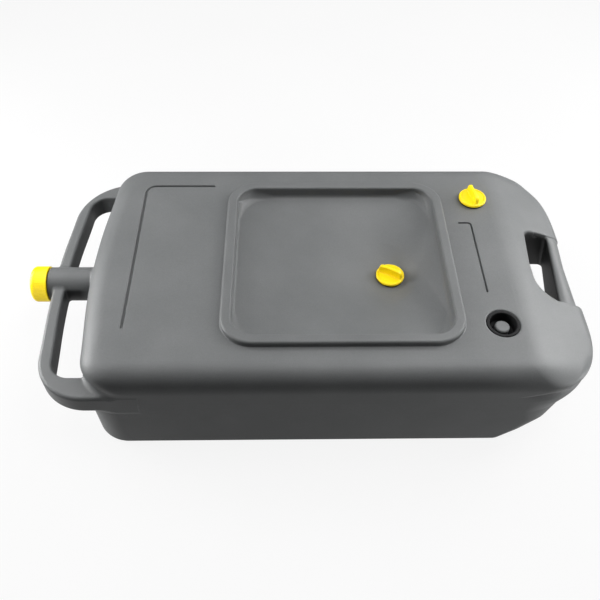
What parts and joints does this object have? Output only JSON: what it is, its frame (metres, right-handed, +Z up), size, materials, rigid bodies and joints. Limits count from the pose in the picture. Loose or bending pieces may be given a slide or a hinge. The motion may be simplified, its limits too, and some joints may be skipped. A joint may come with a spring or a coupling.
{
  "type": "oil drain pan",
  "caption": "Flat closed drain canister: recessed drain tray with screw plug, capped pour spout through a bail handle, winged vent cap, hand grip and parking socket.",
  "frame": {"origin": "centre of the flat base, on the ground plane, in the middle of the overall length and width", "axes": "+X along the pan from the pour spout towards the hand grip, +Y across the pan towards the vent cap, +Z up"},
  "size_m": [0.644, 0.34, 0.1405],
  "materials": {
    "tank_grey": "matte blow-moulded polyethylene, fine grain",
    "cap_yellow": "satin injection-moulded plastic",
    "black_rubber": "matt black rubber"
  },
  "bodies": {
    "tank": {"upper_shell": "tank_grey", "lower_shell": "tank_grey", "tray_rim": "tank_grey", "tray_floor": "tank_grey", "drain_collar": "tank_grey", "vent_collar": "tank_grey", "park_socket": "tank_grey", "park_ring": "black_rubber", "spout_neck": "tank_grey", "bail_handle": "tank_grey", "grip_bar": "tank_grey"},
    "spout_liner": {"spout_cap_liner": "black_rubber"},
    "spout_cap": {"spout_cap": "cap_yellow"},
    "vent_seal": {"vent_cap_seal": "black_rubber"},
    "vent_cap": {"vent_cap": "cap_yellow"},
    "drain_seal": {"drain_plug_seal": "black_rubber"},
    "drain_plug": {"drain_plug": "cap_yellow"}
  },
  "joints": [
    {"name": "spout_cap_lift", "type": "slide", "parent": "tank", "child": "spout_liner", "axis": [-1, 0, 0], "range_m": [0, 0.01]},
    {"name": "spout_cap_turn", "type": "hinge", "parent": "spout_liner", "child": "spout_cap", "pos_m": [-0.31, 0, 0.08], "axis": [-1, 0, 0], "range_deg": [0, 900]},
    {"name": "vent_cap_lift", "type": "slide", "parent": "tank", "child": "vent_seal", "axis": [0, 0, 1], "range_m": [0, 0.01]},
    {"name": "vent_cap_turn", "type": "hinge", "parent": "vent_seal", "child": "vent_cap", "pos_m": [0.212, 0.098, 0.125], "axis": [0, 0, 1], "range_deg": [0, 900]},
    {"name": "drain_plug_lift", "type": "slide", "parent": "tank", "child": "drain_seal", "axis": [0, 0, 1], "range_m": [0, 0.01]},
    {"name": "drain_plug_turn", "type": "hinge", "parent": "drain_seal", "child": "drain_plug", "pos_m": [0.103, 0, 0.09], "axis": [0, 0, 1], "range_deg": [0, 900]}
  ],
  "couplings": [
    {"joint": "spout_cap_lift", "follows": "spout_cap_turn", "m_per_rad": 0.00063661},
    {"joint": "vent_cap_lift", "follows": "vent_cap_turn", "m_per_rad": 0.00063661},
    {"joint": "drain_plug_lift", "follows": "drain_plug_turn", "m_per_rad": 0.00063661}
  ]
}
